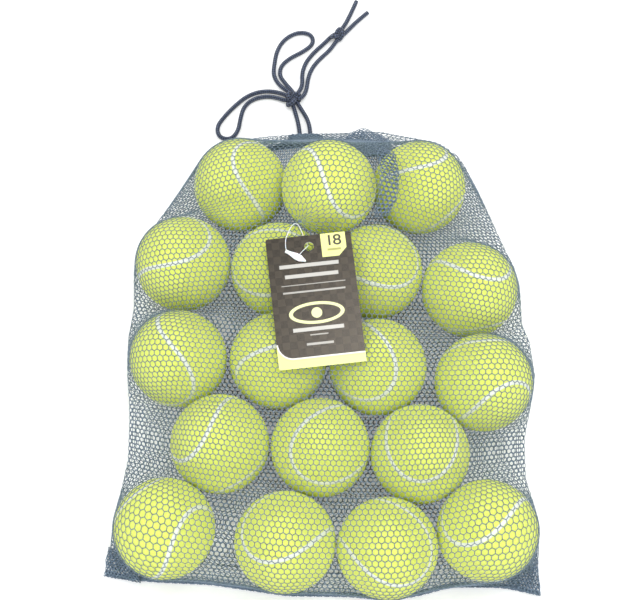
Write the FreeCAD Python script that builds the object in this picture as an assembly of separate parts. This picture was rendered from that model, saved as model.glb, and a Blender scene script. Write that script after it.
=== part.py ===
import FreeCAD, Part
import math
import os

# A drawstring bag of knitted netting that holds eighteen tennis balls in one layer. It lies flat
# on its back, mouth towards +Y, with a folded card tag pinned to its front. Millimetres, +Z up.
# The origin is at the middle of the bag's footprint, on the surface that it rests on.

Vector = FreeCAD.Vector

# Ball: two rubber half shells, under two felt panels that meet at a recessed rubber seam
BALL_RADIUS = 33.3
FELT_THICKNESS = 3.2
RUBBER_WALL = 4.2
SEAM_WIDTH = 2.5
SEAM_RECESS = 0.4
LOBE = 0.75                 # share of the radius in the seam curve's first harmonic
SEAM_POINTS = 48            # points that the seam curve is drawn through

# Netting: one knitted layer all round, stretched over the balls
NET_THICKNESS = 0.8
NET_CLEARANCE = 0.3         # between the netting and each ball
NET_ROUNDING = 25.0         # radius of the bag's long edges
BALL_HEIGHT = NET_THICKNESS + NET_CLEARANCE + BALL_RADIUS

# Where each ball lies (x, y), how far it rides up above the layer, and how it is turned: yaw,
# pitch and roll in degrees. The rows run from the mouth to the bottom seam.
MOUTH_ROW = [
    ((-59.0, 118.0), 0, (-65, -45, 15)),
    ((4.5, 107.0), 20, (-165, 10, 80)),
    ((69.5, 116.0), 0, (-85, 0, -60)),
]
UPPER_ROW = [
    ((-98.0, 57.0), 0, (-80, 20, 115)),
    ((-31.0, 52.5), 0, (75, 35, -105)),
    ((37.0, 51.0), 0, (70, -35, -90)),
    ((103.0, 37.5), 0, (55, -5, -125)),
]
MIDDLE_ROW = [
    ((-99.0, -13.0), 0, (95, 85, -35)),
    ((-30.5, -14.5), 0, (-75, 0, 105)),
    ((38.0, -19.0), 0, (90, -65, 35)),
    ((110.0, -30.0), 0, (-115, -30, -20)),
]
LOWER_ROW = [
    ((-69.0, -73.0), 0, (-90, 65, 20)),
    ((-1.5, -75.5), 0, (130, 25, -75)),
    ((65.5, -80.0), 0, (10, -45, -110)),
]
BOTTOM_ROW = [
    ((-104.0, -130.0), 0, (-80, -40, -25)),
    ((-24.5, -139.0), 0, (-30, -60, 65)),
    ((42.5, -143.0), 0, (45, -45, 95)),
    ((108.5, -131.5), 0, (-160, 70, -30)),
]
BALLS = MOUTH_ROW + UPPER_ROW + MIDDLE_ROW + LOWER_ROW + BOTTOM_ROW
RAISED_BALL = MOUTH_ROW[1]

# The outer balls that the netting is stretched round, anticlockwise from the mouth's right
RIM = [
    MOUTH_ROW[2][0],
    MOUTH_ROW[0][0],
    UPPER_ROW[0][0],
    BOTTOM_ROW[0][0],
    BOTTOM_ROW[1][0],
    BOTTOM_ROW[2][0],
    BOTTOM_ROW[3][0],
    MIDDLE_ROW[3][0],
    UPPER_ROW[3][0],
]

# Mouth: the netting is drawn together into a flat gather, closed by a hem that holds the cord
FLOOR_GAP = 0.3             # between the floor and the pieces that lie round the bag
GATHER_BASE = ((-46.0, 8.0), 140.0, 26.0)      # x from and to, y, height
GATHER_END = ((-25.0, -1.0), 172.4, 9.0)
RUFFLE_BASE = ((10.0, 66.0), 140.0, 40.0)
RUFFLE_END = ((18.0, 50.0), 174.0, 18.0)
HEM_LENGTH = 5.0
HEM_BORE = 3.4

# Bottom seam: the two edges of the netting sewn together, with an ear at each corner
SEAM_BAND = 4.0
SEAM_HEIGHT = 2.0
LEFT_EAR = [(-128.0, -146.0), (-143.0, -139.0), (-147.0, -151.0), (-145.5, -159.0), (-118.0, -161.0)]
RIGHT_EAR = [(134.0, -146.0), (141.0, -150.0), (147.0, -167.5), (138.0, -169.5), (118.0, -163.5)]

# Drawstring: one braided cord. Its routes lie on the floor, apart from their start in the hem.
CORD = 3.0
CORD_HEIGHT = 1.8
HEM_CORD_HEIGHT = 3.4
CORD_ROUTES = {
    "drawstring_neck_left": [(-17.0, 174.4), (-18.4, 185.4), (-21.8, 197.6)],
    "drawstring_neck_right": [(-9.0, 174.4), (-10.4, 186.6), (-17.2, 198.2)],
    "drawstring_loop_left": [
        (-27.0, 208.0), (-36.4, 212.0), (-47.0, 212.2), (-57.5, 208.2), (-66.5, 200.0),
        (-74.5, 190.6), (-80.2, 181.8), (-78.4, 172.8), (-69.4, 170.8), (-63.8, 178.0),
        (-62.4, 188.6), (-60.0, 198.8), (-53.2, 205.4), (-43.6, 207.9), (-35.2, 206.8),
        (-27.6, 203.4),
    ],
    "drawstring_loop_upper": [
        (-25.0, 211.0), (-33.2, 217.2), (-37.9, 226.0), (-37.0, 236.6), (-35.3, 247.4),
        (-29.8, 257.6), (-19.8, 264.0), (-9.0, 262.8), (-6.4, 254.2), (-14.6, 246.8),
        (-24.6, 241.4), (-31.8, 234.6), (-33.2, 225.8), (-28.0, 218.2), (-21.6, 211.8),
    ],
    "drawstring_tail_left": [
        (-18.4, 209.8), (-15.2, 217.6), (-15.8, 227.4), (-12.9, 237.2), (-6.6, 246.0),
        (0.6, 253.2), (7.6, 260.8),
    ],
    "drawstring_tail_right": [
        (-17.2, 206.2), (-12.2, 214.0), (-11.0, 224.2), (-7.4, 233.4), (-1.0, 241.4),
        (6.0, 248.2), (11.8, 256.8),
    ],
    "drawstring_end_left": [(13.6, 263.6), (20.6, 276.0), (26.8, 292.0)],
    "drawstring_end_right": [(16.8, 261.4), (27.4, 274.4), (35.6, 281.8)],
}
HEM_ROUTES = ("drawstring_neck_left", "drawstring_neck_right")
BOW_KNOT = ((-22.6, 204.0), (6.4, 8.8, 4.2))         # centre, half sizes
END_KNOT = ((12.4, 260.4), (7.0, 5.0, 3.9))
MIN_RADIUS = CORD           # the tightest fold that a soft braid lies in

# Tag: a card folded along its top edge, hung on a plastic loop pin. Its own frame has its origin
# at the hole, u to the right, v towards the top edge and w up off the card.
TAG_WIDTH = 58.0
TAG_TOP = 8.0               # from the hole to the top edge
FRONT_LEAF_END = -77.0
BACK_LEAF_END = -83.0
CARD = 0.5
TAG_CORNER = 1.5
FRONT_LEAF_SWEEP = 11.0     # the large radius at the front leaf's lower left corner
TAG_HOLE = 3.2
HOLE_PLACE = (-9.0, 53.0, 76.0)
TAG_TURN = 6.5              # degrees, anticlockwise as seen from above
TAG_TILT = 4.0              # degrees, its top edge higher than its bottom edge

# Loop pin: a nylon thread that goes through the netting and the hole, and snaps into its lock
THREAD = 0.9
THREAD_ROUTE = [
    (-8.2, -6.3, 2.3), (-3.6, -2.2, 2.4), (-0.6, 0.4, 1.6), (-0.4, 1.6, -1.4), (-2.6, 7.2, -1.9),
    (-4.2, 14.4, -1.6), (-6.2, 20.4, 0.0), (-10.4, 18.2, 2.2), (-14.2, 11.0, 2.4),
    (-16.6, 3.8, 2.4), (-15.6, -2.6, 2.3),
]
LOCK_START = (-16.2, -2.0)
LOCK_END = (-3.4, -10.6)
LOCK_LOW = 1.35             # underside of the lock above the card's back
LOCK_PROFILE = [(0.0, 1.0), (2.5, 1.0), (5.0, 1.5), (7.5, 2.1), (11.0, 2.1), (15.4, 0.3)]


def unit(vector):
    return vector * (1.0 / vector.Length)


def seam_curve(angle):
    """The closed curve on the unit sphere that parts a ball's two felt panels."""
    rest = 1.0 - LOBE
    x = LOBE * math.cos(angle) + rest * math.cos(3 * angle)
    y = LOBE * math.sin(angle) - rest * math.sin(3 * angle)
    z = 2 * math.sqrt(LOBE * rest) * math.sin(2 * angle)
    return Vector(x, y, z)


def seam_edge(side, radius):
    """One edge of the seam strip: the curve moved half the strip's width to one side."""
    half = side * 0.5 * SEAM_WIDTH / BALL_RADIUS
    step = 0.001
    points = []
    for n in range(SEAM_POINTS):
        angle = 2 * math.pi * n / SEAM_POINTS
        middle = seam_curve(angle)
        along = seam_curve(angle + step) - seam_curve(angle - step)
        across = unit(middle.cross(along))
        points.append((middle * math.cos(half) + across * math.sin(half)) * radius)
    curve = Part.BSplineCurve()
    curve.interpolate(points, PeriodicFlag=True)
    return curve.toShape()


def seam_cut(side):
    """The face between the seam strip and one felt panel, through the whole cover."""
    low = seam_edge(side, BALL_RADIUS - 2 * FELT_THICKNESS)
    high = seam_edge(side, BALL_RADIUS + FELT_THICKNESS)
    return Part.makeRuledSurface(low, high)


def felt_cover():
    """Two felt panels and the seam strip between them, which lies a little lower."""
    inner = BALL_RADIUS - FELT_THICKNESS
    ball = Part.makeSphere(BALL_RADIUS).cut(Part.makeSphere(inner))
    pieces = ball.generalFuse([seam_cut(-1), seam_cut(1)])[0].Solids
    pieces.sort(key=lambda piece: piece.Volume)
    strip = pieces[0].common(Part.makeSphere(BALL_RADIUS - SEAM_RECESS))
    return Part.makeCompound([strip] + pieces[1:])


def rubber_core():
    """Two moulded half shells, joined at their rims."""
    outer = BALL_RADIUS - FELT_THICKNESS
    core = Part.makeSphere(outer).cut(Part.makeSphere(outer - RUBBER_WALL))
    size = 2 * BALL_RADIUS
    block = Part.makeBox(size, size, size, Vector(-BALL_RADIUS, -BALL_RADIUS, 0))
    return Part.makeCompound([core.common(block), core.cut(block)])


def ball_place(ball):
    (x, y), rise, (yaw, pitch, roll) = ball
    return FreeCAD.Placement(Vector(x, y, BALL_HEIGHT + rise), FreeCAD.Rotation(yaw, pitch, roll))


def placed(shape, place):
    copy = shape.copy()
    copy.Placement = place
    return copy


def rim_outline(radius, height):
    """The face of the rim line moved out by a radius: straight sides and round corners."""
    edges = []
    count = len(RIM)
    corners = [Vector(x, y, height) for x, y in RIM]
    outward = []
    for n in range(count):
        side = unit(corners[(n + 1) % count] - corners[n])
        outward.append(Vector(side.y, -side.x, 0))
    for n in range(count):
        before = corners[n] + outward[n - 1] * radius
        middle = corners[n] + unit(outward[n - 1] + outward[n]) * radius
        after = corners[n] + outward[n] * radius
        next_start = corners[(n + 1) % count] + outward[n] * radius
        edges.append(Part.Arc(before, middle, after).toShape())
        edges.append(Part.LineSegment(after, next_start).toShape())
    return Part.Face(Part.Wire(edges))


def rounded_bag(radius, low, high, rounding):
    """The space inside or outside the netting: the rim's outline, rounded along both edges."""
    block = rim_outline(radius, low).extrude(Vector(0, 0, high - low))
    long_edges = []
    for edge in block.Edges:
        level = edge.BoundBox.ZMax - edge.BoundBox.ZMin < 0.001
        if level:
            long_edges.append(edge)
    body = block.makeFillet(rounding, long_edges)
    (x, y), rise, turn = RAISED_BALL
    dome = Part.makeSphere(radius, Vector(x, y, BALL_HEIGHT + rise))
    return body.fuse(dome).removeSplitter()


def flat_wedge(base, end):
    """A flat tapering bundle of netting, from the bag's edge towards the mouth."""
    wires = []
    for (left, right), y, height in (base, end):
        chamfer = 0.35 * height
        points = [
            Vector(left, y, FLOOR_GAP), Vector(right, y, FLOOR_GAP),
            Vector(right, y, height - chamfer), Vector(right - chamfer, y, height),
            Vector(left + chamfer, y, height), Vector(left, y, height - chamfer),
        ]
        wires.append(Part.makePolygon(points + points[:1]))
    return Part.makeLoft(wires, True, True)


def netting(outside, inside):
    """The netting's front and back, parted along the balls' middle."""
    shell = outside.cut(inside)
    box = outside.BoundBox
    lower = Part.makeBox(box.XLength, box.YLength, BALL_HEIGHT, Vector(box.XMin, box.YMin, 0))
    return shell.cut(lower), shell.common(lower)


def mouth_hem():
    """The drawn-up hem at the end of the gather, with a hole for each end of the cord."""
    (left, right), y, height = GATHER_END
    hem = Part.makeBox(right - left, HEM_LENGTH, height - FLOOR_GAP, Vector(left, y, FLOOR_GAP))
    long_edges = [edge for edge in hem.Edges if abs(edge.tangentAt(0).y) > 0.5]
    hem = hem.makeFillet(0.3 * height, long_edges)
    for name in HEM_ROUTES:
        start, towards = cord_route(name)[:2]
        hem = hem.cut(Part.makeCylinder(HEM_BORE / 2, 2 * HEM_LENGTH, start, towards - start))
    return hem


def plate(points, low, high):
    corners = [Vector(x, y, low) for x, y in points]
    face = Part.Face(Part.makePolygon(corners + corners[:1]))
    return face.extrude(Vector(0, 0, high - low))


def bottom_seam(outside):
    """A flat sewn band in the corner under the bottom row, with an ear at each end."""
    top = FLOOR_GAP + SEAM_HEIGHT
    reach = BALL_RADIUS + NET_CLEARANCE
    band = rim_outline(reach, FLOOR_GAP).extrude(Vector(0, 0, SEAM_HEIGHT))
    middle = rim_outline(reach - 3 * SEAM_BAND, FLOOR_GAP).extrude(Vector(0, 0, SEAM_HEIGHT))
    side = 2 * LEFT_EAR[3][1]
    strip = Part.makeBox(400, -side / 2, SEAM_HEIGHT, Vector(-200, side, FLOOR_GAP))
    band = band.cut(middle).common(strip)
    for ear in (LEFT_EAR, RIGHT_EAR):
        band = band.fuse(plate(ear, FLOOR_GAP, top))
    return band.cut(outside).removeSplitter()


def route_tube(name, points, diameter, least):
    """A tube along straight runs joined by tangent arcs, each as large as its runs allow."""
    edges = []
    radii = []
    start = points[0]
    for before, corner, after in zip(points, points[1:], points[2:]):
        run_in = corner - before
        run_out = after - corner
        turn = run_in.getAngle(run_out)
        reach = 0.45 * min(run_in.Length, run_out.Length)
        radius = reach / math.tan(turn / 2)
        first = corner - unit(run_in) * reach
        last = corner + unit(run_out) * reach
        inward = unit(unit(run_out) - unit(run_in))
        middle = corner + inward * (radius / math.cos(turn / 2) - radius)
        edges.append(Part.LineSegment(start, first).toShape())
        edges.append(Part.Arc(first, middle, last).toShape())
        radii.append(radius)
        start = last
    edges.append(Part.LineSegment(start, points[-1]).toShape())
    path = Part.Wire(edges)
    ring = Part.makeCircle(diameter / 2, points[0], points[1] - points[0])
    tube = path.makePipeShell([Part.Wire(ring)], True, False)
    share = tube.Volume / (math.pi * diameter ** 2 / 4 * path.Length)
    print(name, "length %.1f" % path.Length, "volume share %.4f" % share,
          "radii", " ".join("%.1f" % radius for radius in radii))
    if min(radii) < least:
        print(name, "turns tighter than", least)
    return tube


def cord_route(name):
    """A cord's points in space: on the floor, but higher where it starts in the hem."""
    points = [Vector(x, y, CORD_HEIGHT) for x, y in CORD_ROUTES[name]]
    if name in HEM_ROUTES:
        points[0].z = HEM_CORD_HEIGHT
    return points


def knot(place):
    (x, y), (half_x, half_y, half_z) = place
    squeeze = FreeCAD.Matrix()
    squeeze.scale(half_x, half_y, half_z)
    lump = Part.makeSphere(1.0).transformGeometry(squeeze)
    lump.translate(Vector(x, y, FLOOR_GAP + half_z))
    return lump


def tag_place():
    turn = FreeCAD.Rotation(Vector(0, 0, 1), TAG_TURN)
    tilt = FreeCAD.Rotation(Vector(1, 0, 0), TAG_TILT)
    return FreeCAD.Placement(Vector(*HOLE_PLACE), turn.multiply(tilt))


def upright_edge(card, right, upper):
    """The edge at one corner of the card, through its thickness."""
    for edge in card.Edges:
        middle = edge.CenterOfMass
        if edge.Length < 2 * CARD and (middle.x > 0) == right and (middle.y > 0) == upper:
            return edge


def leaf(low, end, sweep):
    """One leaf of the card, with rounded corners and the hole for the pin."""
    card = Part.makeBox(TAG_WIDTH, TAG_TOP - end, CARD, Vector(-TAG_WIDTH / 2, end, low))
    card = card.makeFillet(sweep, [upright_edge(card, False, False)])
    small = [upright_edge(card, False, True), upright_edge(card, True, True)]
    card = card.makeFillet(TAG_CORNER, small)
    return card.cut(Part.makeCylinder(TAG_HOLE, 4 * CARD, Vector(0, 0, low - CARD)))


def pin_lock():
    """The lock's barb: a flat arrow head that widens and then runs to a point."""
    start = Vector(LOCK_START[0], LOCK_START[1], LOCK_LOW)
    along = unit(Vector(LOCK_END[0], LOCK_END[1], LOCK_LOW) - start)
    across = Vector(-along.y, along.x, 0)
    left = [start + along * far + across * half for far, half in LOCK_PROFILE]
    right = [start + along * far - across * half for far, half in reversed(LOCK_PROFILE)]
    outline = left + right
    face = Part.Face(Part.makePolygon(outline + outline[:1]))
    return face.extrude(Vector(0, 0, 2.0))


os.makedirs("parts", exist_ok=True)

shapes = {}
cover = felt_cover()
core = rubber_core()
for number, ball in enumerate(BALLS, start=1):
    shapes["ball_%02d_core" % number] = placed(core, ball_place(ball))
    shapes["ball_%02d_cover" % number] = placed(cover, ball_place(ball))

LAYER_TOP = BALL_HEIGHT + BALL_RADIUS + NET_CLEARANCE
inside_radius = BALL_RADIUS + NET_CLEARANCE
inside = rounded_bag(inside_radius, NET_THICKNESS, LAYER_TOP, NET_ROUNDING - NET_THICKNESS)
outside = rounded_bag(inside_radius + NET_THICKNESS, 0, LAYER_TOP + NET_THICKNESS, NET_ROUNDING)
shapes["netting_front"], shapes["netting_back"] = netting(outside, inside)
shapes["mouth_gather"] = flat_wedge(GATHER_BASE, GATHER_END).cut(outside)
shapes["mouth_ruffle"] = flat_wedge(RUFFLE_BASE, RUFFLE_END).cut(outside)
shapes["mouth_hem"] = mouth_hem()
shapes["bottom_seam"] = bottom_seam(outside)

for name in CORD_ROUTES:
    shapes[name] = route_tube(name, cord_route(name), CORD, MIN_RADIUS)
shapes["drawstring_bow_knot"] = knot(BOW_KNOT)
shapes["drawstring_end_knot"] = knot(END_KNOT)

on_tag = tag_place()
shapes["tag_back_leaf"] = placed(leaf(0.0, BACK_LEAF_END, TAG_CORNER), on_tag)
shapes["tag_front_leaf"] = placed(leaf(CARD, FRONT_LEAF_END, FRONT_LEAF_SWEEP), on_tag)
thread = route_tube("tag_pin_thread", [Vector(*point) for point in THREAD_ROUTE], THREAD, THREAD)
shapes["tag_pin_thread"] = placed(thread, on_tag)
shapes["tag_pin_lock"] = placed(pin_lock(), on_tag)

for name, shape in shapes.items():
    if not shape.isValid():
        print(name, "is not valid")
    shape.exportStep("parts/%s.step" % name)
print(len(shapes), "nodes")
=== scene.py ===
import math

import bpy
import numpy as np
from mathutils import Euler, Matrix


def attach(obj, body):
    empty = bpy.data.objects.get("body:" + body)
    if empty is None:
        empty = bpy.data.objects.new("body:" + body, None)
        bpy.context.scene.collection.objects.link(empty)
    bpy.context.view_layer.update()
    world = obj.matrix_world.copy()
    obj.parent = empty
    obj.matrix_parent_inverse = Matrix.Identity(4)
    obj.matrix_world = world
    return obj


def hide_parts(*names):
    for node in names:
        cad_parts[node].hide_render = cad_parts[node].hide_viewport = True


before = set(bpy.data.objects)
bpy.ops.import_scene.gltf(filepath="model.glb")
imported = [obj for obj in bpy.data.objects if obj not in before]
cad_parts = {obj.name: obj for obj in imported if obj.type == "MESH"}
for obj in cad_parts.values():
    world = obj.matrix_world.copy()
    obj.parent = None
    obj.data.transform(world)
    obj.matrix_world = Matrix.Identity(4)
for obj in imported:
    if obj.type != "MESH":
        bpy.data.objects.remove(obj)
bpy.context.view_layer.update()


# ----------------------------------------
# The view: from over the bag, leaning towards its bottom edge. A pale paper sweep, a softbox on
# each side, a strip light that shows on the card, a low fill in front, and a soft white room.
# ----------------------------------------

def linear(code):
    """Three linear colour values and alpha from an sRGB hex code, by the sRGB curve."""
    value = np.array([int(code[k:k + 2], 16) for k in (1, 3, 5)]) / 255
    value = np.where(value <= 0.04045, value / 12.92, ((value + 0.055) / 1.055) ** 2.4)
    return (*value.tolist(), 1.0)


def add(tree, kind, inputs=(), **settings):
    """One shader node. Inputs pairs a socket's name or number with a value or another output."""
    made = tree.nodes.new(kind)
    for name, value in settings.items():
        setattr(made, name, value)
    for socket, value in dict(inputs).items():
        if isinstance(value, bpy.types.NodeSocket):
            tree.links.new(value, made.inputs[socket])
        else:
            made.inputs[socket].default_value = value
    return made


def material(name):
    """An empty node material: its tree, and its output's surface socket."""
    made = bpy.data.materials.new(name)
    made.use_nodes = True
    made.node_tree.nodes.clear()
    output = made.node_tree.nodes.new("ShaderNodeOutputMaterial")
    return made, made.node_tree, output.inputs["Surface"]


scene = bpy.context.scene
scene.view_settings.view_transform = "Standard"

CAMERA_PLACE = (-0.0003, -0.2949, 0.9270)
CAMERA_LEAN = 20            # degrees from straight down

camera = bpy.data.objects.new("camera", bpy.data.cameras.new("camera"))
camera.data.lens = 76.0
camera.data.sensor_width = 36.0
camera.location = CAMERA_PLACE
camera.rotation_euler = (math.radians(CAMERA_LEAN), 0, 0)
scene.collection.objects.link(camera)
scene.camera = camera

LAMPS = {
    # name: place, size in metres, watts
    "left_softbox": ((-0.85, 0.55, 1.30), (0.9, 1.1), 4.6),
    "right_softbox": ((0.95, 0.45, 1.30), (0.9, 1.1), 4.6),
    "front_fill": ((0.0, -1.35, 0.85), (1.6, 0.9), 8.0),
    "strip_light": ((0.185, 0.17, 1.50), (0.32, 0.42), 4.4),
}
for lamp_name, (place, size, watts) in LAMPS.items():
    lamp = bpy.data.lights.new(lamp_name, "AREA")
    lamp.shape = "RECTANGLE"
    lamp.size, lamp.size_y = size
    lamp.energy = watts
    lamp_object = bpy.data.objects.new(lamp_name, lamp)
    lamp_object.location = place
    aim = np.array([0.0, 0.03, 0.04]) - np.array(place)
    lean = math.atan2(math.hypot(aim[0], aim[1]), -aim[2])
    lamp_object.rotation_euler = (lean, 0, math.atan2(-aim[0], aim[1]))
    scene.collection.objects.link(lamp_object)

room = bpy.data.worlds.new("white_room")
room.use_nodes = True
room.node_tree.nodes.clear()
rays = add(room.node_tree, "ShaderNodeLightPath")
seen = add(room.node_tree, "ShaderNodeMath", {0: rays.outputs["Is Camera Ray"],
           1: rays.outputs["Is Transmission Ray"]}, operation="MAXIMUM")
direct = add(room.node_tree, "ShaderNodeMath", {0: seen.outputs[0],
             1: rays.outputs["Is Glossy Ray"]}, operation="MAXIMUM")
soft = add(room.node_tree, "ShaderNodeBackground", {"Color": linear("#F4F7FA"), "Strength": 0.98})
white = add(room.node_tree, "ShaderNodeBackground", {"Color": (1, 1, 1, 1), "Strength": 1.0})
both = add(room.node_tree, "ShaderNodeMixShader",
           {0: direct.outputs[0], 1: soft.outputs[0], 2: white.outputs[0]})
add(room.node_tree, "ShaderNodeOutputWorld", {"Surface": both.outputs[0]})
scene.world = room

# Paper: matte and white. It shows paler than it is, so that only the bag's shadow is seen on it.
paper, tree, surface = material("sweep_paper")
rays = add(tree, "ShaderNodeLightPath")
seen = add(tree, "ShaderNodeMath", {0: rays.outputs["Is Camera Ray"],
           1: rays.outputs["Is Transmission Ray"]}, operation="MAXIMUM")
grain = add(tree, "ShaderNodeTexNoise", {"Scale": 900.0, "Detail": 2.0})
tint = add(tree, "ShaderNodeMix", {"Factor": grain.outputs[0], 6: linear("#E9E9E8"),
           7: linear("#EFEFEE")}, data_type="RGBA")
matte = add(tree, "ShaderNodeBsdfDiffuse", {"Color": tint.outputs[2]})
lift = add(tree, "ShaderNodeEmission", {"Color": (1, 1, 1, 1), "Strength": 0.26})
lifted = add(tree, "ShaderNodeAddShader", {0: matte.outputs[0], 1: lift.outputs[0]})
shown = add(tree, "ShaderNodeMixShader",
            {0: seen.outputs[0], 1: matte.outputs[0], 2: lifted.outputs[0]})
tree.links.new(shown.outputs[0], surface)
floor = bpy.data.meshes.new("floor")
floor.from_pydata([(-4, -4, 0), (4, -4, 0), (4, 4, 0), (-4, 4, 0)], [], [(0, 1, 2, 3)])
floor.materials.append(paper)
floor_object = bpy.data.objects.new("floor", floor)
scene.collection.objects.link(floor_object)


# ----------------------------------------
# Drawstring: two ends of one soft braided polyester cord, 3 mm thick, which come out of the hem,
# are tied in a bow, and end past one overhand knot in two cut ends.
# ----------------------------------------

CORD_WIDTH = 3.2
CORD_SIDES = 16
STITCH = 3.2                # mm along the cord for one crossing of the braid, drawn coarse to show
LOZENGES = 3                # of the braid round the cord
LEFT_ROUTE = [
    (-16.4, 169.4, 4.4), (-17.0, 174.4, 3.2), (-18.4, 185.4, 1.8), (-21.8, 197.6, 2.6),
    (-24.0, 204.0, 4.2),
    (-27.0, 208.0, 3.0), (-36.4, 212.0, 1.8), (-47.0, 212.2, 1.8), (-57.5, 208.2, 1.8),
    (-66.5, 200.0, 1.8), (-74.5, 190.6, 1.8), (-80.2, 181.8, 1.8), (-78.4, 172.8, 1.8),
    (-69.4, 170.8, 1.8), (-63.8, 178.0, 1.8), (-62.4, 188.6, 1.8), (-60.0, 198.8, 1.8),
    (-53.2, 205.4, 1.8), (-43.6, 207.9, 1.8), (-35.2, 206.8, 1.8), (-27.6, 203.4, 2.8),
    (-22.0, 205.4, 5.6), (-18.4, 209.8, 3.0), (-15.2, 217.6, 1.8), (-15.8, 227.4, 1.8),
    (-12.9, 237.2, 1.8), (-6.6, 246.0, 1.8), (0.6, 253.2, 1.8), (7.6, 260.8, 2.4),
    (13.6, 263.6, 2.4), (20.6, 276.0, 1.8), (26.8, 292.0, 1.8),
]
RIGHT_ROUTE = [
    (-8.8, 169.4, 4.4), (-9.0, 174.4, 3.2), (-10.4, 186.6, 1.8), (-17.2, 198.2, 2.6),
    (-21.6, 205.0, 3.4),
    (-25.0, 211.0, 2.6), (-33.2, 217.2, 1.8), (-37.9, 226.0, 1.8), (-37.0, 236.6, 1.8),
    (-35.3, 247.4, 1.8), (-29.8, 257.6, 1.8), (-19.8, 264.0, 1.8), (-9.0, 262.8, 1.8),
    (-6.4, 254.2, 1.8), (-14.6, 246.8, 1.8), (-24.6, 241.4, 1.8), (-31.8, 234.6, 1.8),
    (-33.2, 225.8, 1.8), (-28.0, 218.2, 1.8), (-22.4, 210.6, 3.4), (-20.6, 204.4, 6.0),
    (-16.4, 204.0, 4.6), (-12.2, 212.0, 2.0), (-11.0, 224.2, 1.8), (-7.4, 233.4, 1.8),
    (-1.0, 241.4, 1.8), (6.0, 248.2, 1.8), (11.8, 256.8, 3.2), (16.8, 261.4, 3.0),
    (27.4, 274.4, 1.8), (35.6, 281.8, 1.8),
]
BOW_KNOT = ((-22.6, 204.4, 4.5), (4.6, 6.2, 2.6), -28.0)    # middle, half sizes, turn in degrees
END_KNOT = ((12.4, 260.4, 4.2), (5.2, 3.4, 2.3), 40.0)


def mesh_piece(name, points, faces, finish, uv=None):
    """A smooth mesh object from points in millimetres and rows of corner numbers, -1 where a row
    is short."""
    faces = np.asarray(faces)
    sizes = (faces >= 0).sum(1)
    corners = faces[faces >= 0]
    mesh = bpy.data.meshes.new(name)
    mesh.vertices.add(len(points))
    mesh.vertices.foreach_set("co", (np.asarray(points, float) / 1000).ravel())
    mesh.loops.add(len(corners))
    mesh.loops.foreach_set("vertex_index", corners.astype(np.int32))
    mesh.polygons.add(len(faces))
    mesh.polygons.foreach_set("loop_start", (np.cumsum(sizes) - sizes).astype(np.int32))
    mesh.polygons.foreach_set("use_smooth", np.full(len(faces), True))
    if uv is not None:
        layer = mesh.uv_layers.new(name="along")
        layer.data.foreach_set("uv", np.asarray(uv, float)[faces >= 0].ravel())
    mesh.update(calc_edges=True)
    mesh.validate()
    mesh.materials.append(finish)
    piece = bpy.data.objects.new(name, mesh)
    scene.collection.objects.link(piece)
    return piece


def smooth_line(route, spacing):
    """Points in mm, evenly spaced along the NURBS spline of order 3 that the route controls."""
    line = bpy.data.curves.new("line", "CURVE")
    line.dimensions = "3D"
    spline = line.splines.new("NURBS")
    spline.points.add(len(route) - 1)
    spline.points.foreach_set("co", [v for x, y, z in route for v in (x, y, z, 1)])
    spline.order_u = 3
    spline.use_endpoint_u = True
    spline.resolution_u = 16
    holder = bpy.data.objects.new("line", line)
    read = bpy.data.meshes.new_from_object(holder)
    path = np.zeros(len(read.vertices) * 3)
    read.vertices.foreach_get("co", path)
    path = path.reshape(-1, 3)
    bpy.data.objects.remove(holder)
    bpy.data.meshes.remove(read)
    return even(path, spacing)


def even(path, spacing):
    """The same line, cut into equal steps about as long as spacing."""
    run = np.r_[0, np.cumsum(np.linalg.norm(np.diff(path, axis=0), axis=1))]
    at = np.linspace(0, run[-1], max(2, round(run[-1] / spacing) + 1))
    return np.stack([np.interp(at, run, path[:, k]) for k in range(3)], 1)


def sweep(path, profile, up=(0, 0, 1), closed=False):
    """A closed profile carried along a path. Ring i is path i + side * x + over * y, where side is
    the tangent times up, over is side times the tangent, and (x, y) is the profile, which may
    change from ring to ring. The ends are closed with fans. UV is the share of the profile and
    the mm along."""
    rings, sides = len(path), profile.shape[-2]
    profile = np.broadcast_to(profile, (rings, sides, 2))
    if closed:
        tangent = np.roll(path, -1, 0) - np.roll(path, 1, 0)
    else:
        tangent = np.gradient(path, axis=0)
    tangent /= np.linalg.norm(tangent, axis=1)[:, None]
    side = np.cross(tangent, up)
    side /= np.linalg.norm(side, axis=1)[:, None]
    over = np.cross(side, tangent)
    points = (path[:, None] + side[:, None] * profile[:, :, :1] + over[:, None] * profile[:, :, 1:])
    points = points.reshape(-1, 3)
    steps = np.linalg.norm(np.diff(path, axis=0, append=path[:1]), axis=1)
    run = np.r_[0, np.cumsum(steps)]
    i, j = np.meshgrid(np.arange(rings if closed else rings - 1), np.arange(sides), indexing="ij")
    i, j = i.ravel(), j.ravel()
    i2, j2 = (i + 1) % rings, (j + 1) % sides
    faces = np.stack([i * sides + j, i * sides + j2, i2 * sides + j2, i2 * sides + j], 1)
    uv = np.stack([np.stack([j, j + 1, j + 1, j], 1) / sides,
                   np.stack([run[i], run[i], run[i + 1], run[i + 1]], 1)], 2)
    if not closed:
        k = np.arange(sides)
        none = np.full(sides, -1)
        first, last = len(points), len(points) + 1
        points = np.vstack([points, path[:1], path[-1:]])
        ends = (rings - 1) * sides
        caps = np.vstack([
            np.stack([np.full(sides, first), (k + 1) % sides, k, none], 1),
            np.stack([np.full(sides, last), ends + k, ends + (k + 1) % sides, none], 1),
        ])
        faces = np.vstack([faces, caps])
        uv = np.vstack([uv, np.zeros((2 * sides, 4, 2))])
    return points, faces, uv


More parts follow.
